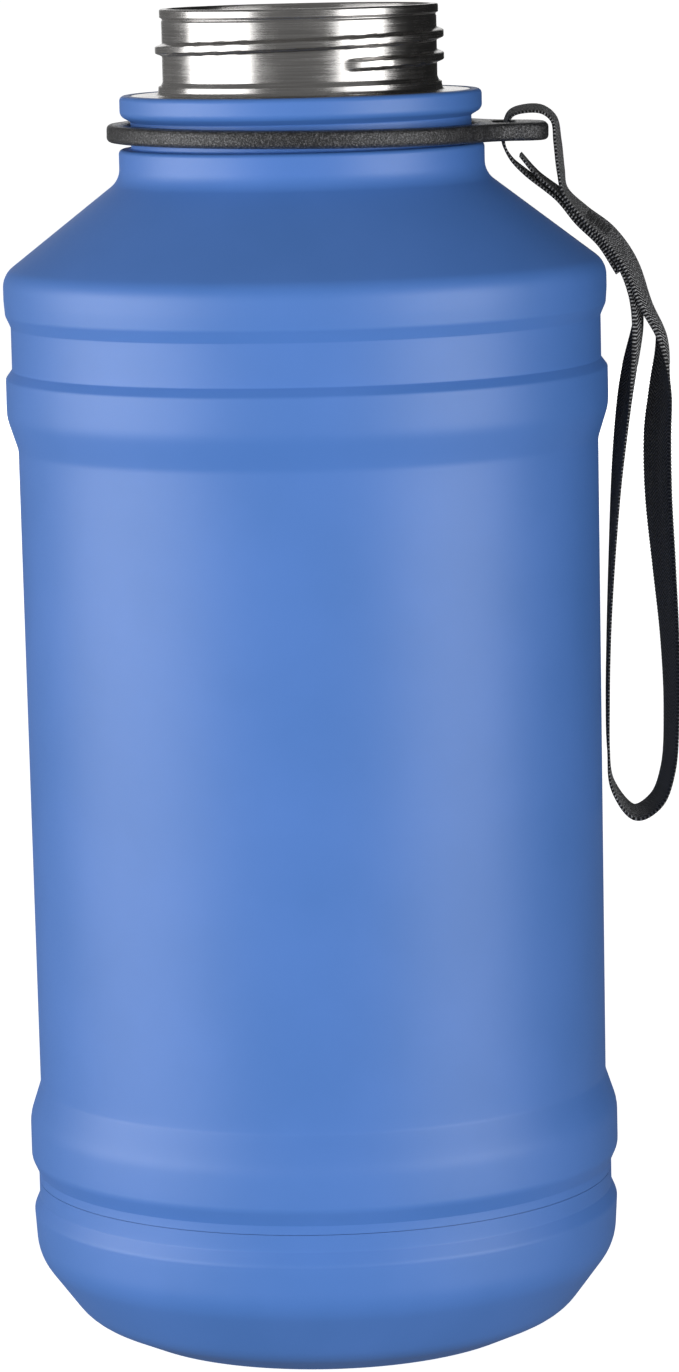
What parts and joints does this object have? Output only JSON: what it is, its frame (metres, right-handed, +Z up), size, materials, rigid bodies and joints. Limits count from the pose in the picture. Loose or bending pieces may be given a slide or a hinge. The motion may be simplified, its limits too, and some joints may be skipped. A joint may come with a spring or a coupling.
{
  "type": "insulated water jug",
  "caption": "Large double-wall steel water jug with an open threaded mouth, ribbed round body, loose plastic carry ring and webbing wrist strap.",
  "frame": {"origin": "centre of the base, on the surface the jug stands on", "axes": "+Z up along the jug's axis; the carry ring's lug and strap point along +X; the pictured side faces -Y"},
  "size_m": [0.1446, 0.13, 0.2885],
  "materials": {
    "powder_coat": "matte blue powder coat",
    "steel": "satin brushed stainless steel",
    "copper_foil": "thin copper foil",
    "glass_solder": "dark fused glass solder",
    "getter_alloy": "sintered grey getter alloy",
    "black_plastic": "spark-textured black moulded plastic",
    "webbing": "black herringbone polyester webbing",
    "thread": "black polyester sewing thread"
  },
  "bodies": {
    "jug": {"outer_shell": "powder_coat", "outer_base": "powder_coat", "neck_flange": "steel", "base_cover": "steel", "vacuum_seal_bead": "glass_solder", "inner_liner": "steel", "liner_base": "steel", "radiation_shield": "copper_foil", "getter": "getter_alloy", "getter_clip": "steel"},
    "ring": {"carry_ring": "black_plastic"},
    "strap": {"wrist_strap": "webbing", "strap_stitching": "thread"}
  },
  "joints": [
    {"name": "ring_swivel", "type": "hinge", "parent": "jug", "child": "ring", "pos_m": [0, 0, 0.26165], "axis": [0, 0, 1], "continuous": true},
    {"name": "strap_swing", "type": "hinge", "parent": "ring", "child": "strap", "pos_m": [0.0493, 0, 0.26088], "axis": [0, -1, 0], "range_deg": [0, 150]}
  ]
}
